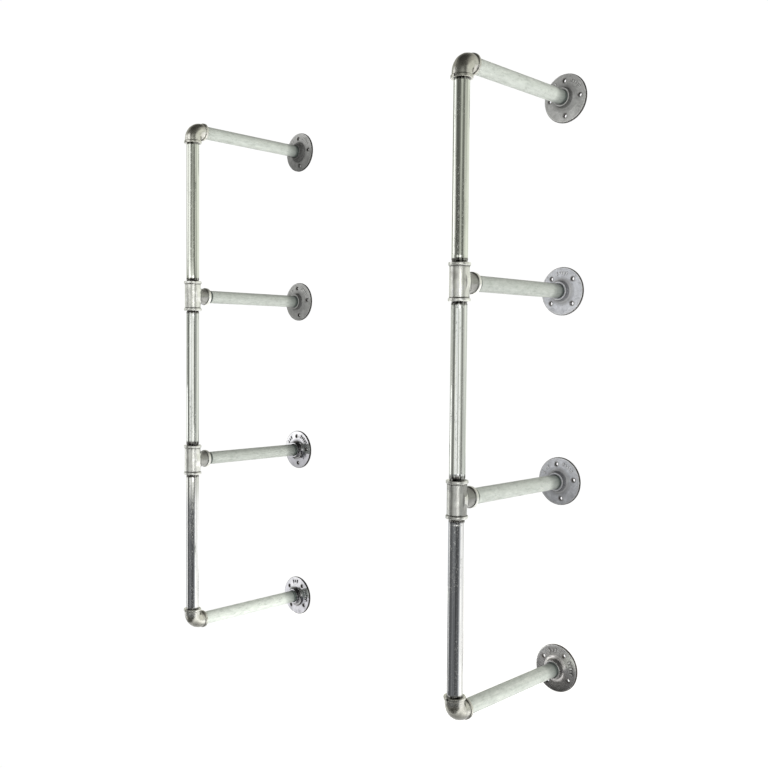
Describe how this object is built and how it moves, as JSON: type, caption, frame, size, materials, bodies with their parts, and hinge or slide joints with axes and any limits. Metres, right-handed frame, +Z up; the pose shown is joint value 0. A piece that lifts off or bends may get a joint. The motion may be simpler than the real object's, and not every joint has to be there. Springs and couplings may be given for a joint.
{
  "type": "pipe shelf wall frames",
  "caption": "Pair of tall wall frames of galvanised threaded pipe: an upright riser with level arms that end in round screw-down flanges and carry shelf boards.",
  "frame": {"origin": "centre of the wall face of the lowest flange of the left frame", "axes": "+Z up along the risers, +Y into the wall, +X from the left frame to the right frame"},
  "size_m": [0.82, 0.3235, 1.145],
  "materials": {
    "bright_zinc_pipe": "bright electro-zinc plating, drawn lengthwise, glossy with sharp streaks",
    "dull_zinc_pipe": "pale grey-green matt galvanising with faint mottling",
    "fitting_casting": "galvanised malleable casting, satin with a fine cast grain",
    "flange_casting": "cool grey galvanised casting, matt, mottled, darker at the rim and hub"
  },
  "bodies": {
    "root": {"left_elbow_bottom": "fitting_casting", "left_riser_lower": "bright_zinc_pipe", "left_tee_lower": "fitting_casting", "left_riser_middle": "bright_zinc_pipe", "left_tee_upper": "fitting_casting", "left_riser_upper": "bright_zinc_pipe", "left_elbow_top": "fitting_casting", "left_arm_1": "dull_zinc_pipe", "left_arm_2": "dull_zinc_pipe", "left_arm_3": "dull_zinc_pipe", "left_arm_4": "dull_zinc_pipe", "right_elbow_bottom": "fitting_casting", "right_riser_lower": "bright_zinc_pipe", "right_tee_lower": "fitting_casting", "right_riser_middle": "bright_zinc_pipe", "right_tee_upper": "fitting_casting", "right_riser_upper": "bright_zinc_pipe", "right_elbow_top": "fitting_casting", "right_arm_1": "dull_zinc_pipe", "right_arm_2": "dull_zinc_pipe", "right_arm_3": "dull_zinc_pipe", "right_arm_4": "dull_zinc_pipe"},
    "left_wall_flange_1": {"left_flange_1": "flange_casting"},
    "left_wall_flange_2": {"left_flange_2": "flange_casting"},
    "left_wall_flange_3": {"left_flange_3": "flange_casting"},
    "left_wall_flange_4": {"left_flange_4": "flange_casting"},
    "right_wall_flange_1": {"right_flange_1": "flange_casting"},
    "right_wall_flange_2": {"right_flange_2": "flange_casting"},
    "right_wall_flange_3": {"right_flange_3": "flange_casting"},
    "right_wall_flange_4": {"right_flange_4": "flange_casting"}
  },
  "joints": [
    {"name": "left_flange_1_turn", "type": "hinge", "parent": "root", "child": "left_wall_flange_1", "pos_m": [0, 0, 0], "axis": [0, 1, 0], "range_deg": [-45, 45]},
    {"name": "left_flange_2_turn", "type": "hinge", "parent": "root", "child": "left_wall_flange_2", "pos_m": [0, 0, 0.352], "axis": [0, 1, 0], "range_deg": [-45, 45]},
    {"name": "left_flange_3_turn", "type": "hinge", "parent": "root", "child": "left_wall_flange_3", "pos_m": [0, 0, 0.704], "axis": [0, 1, 0], "range_deg": [-45, 45]},
    {"name": "left_flange_4_turn", "type": "hinge", "parent": "root", "child": "left_wall_flange_4", "pos_m": [0, 0, 1.056], "axis": [0, 1, 0], "range_deg": [-45, 45]},
    {"name": "right_flange_1_turn", "type": "hinge", "parent": "root", "child": "right_wall_flange_1", "pos_m": [0.731, 0, 0], "axis": [0, 1, 0], "range_deg": [-45, 45]},
    {"name": "right_flange_2_turn", "type": "hinge", "parent": "root", "child": "right_wall_flange_2", "pos_m": [0.731, 0, 0.352], "axis": [0, 1, 0], "range_deg": [-45, 45]},
    {"name": "right_flange_3_turn", "type": "hinge", "parent": "root", "child": "right_wall_flange_3", "pos_m": [0.731, 0, 0.704], "axis": [0, 1, 0], "range_deg": [-45, 45]},
    {"name": "right_flange_4_turn", "type": "hinge", "parent": "root", "child": "right_wall_flange_4", "pos_m": [0.731, 0, 1.056], "axis": [0, 1, 0], "range_deg": [-45, 45]}
  ]
}
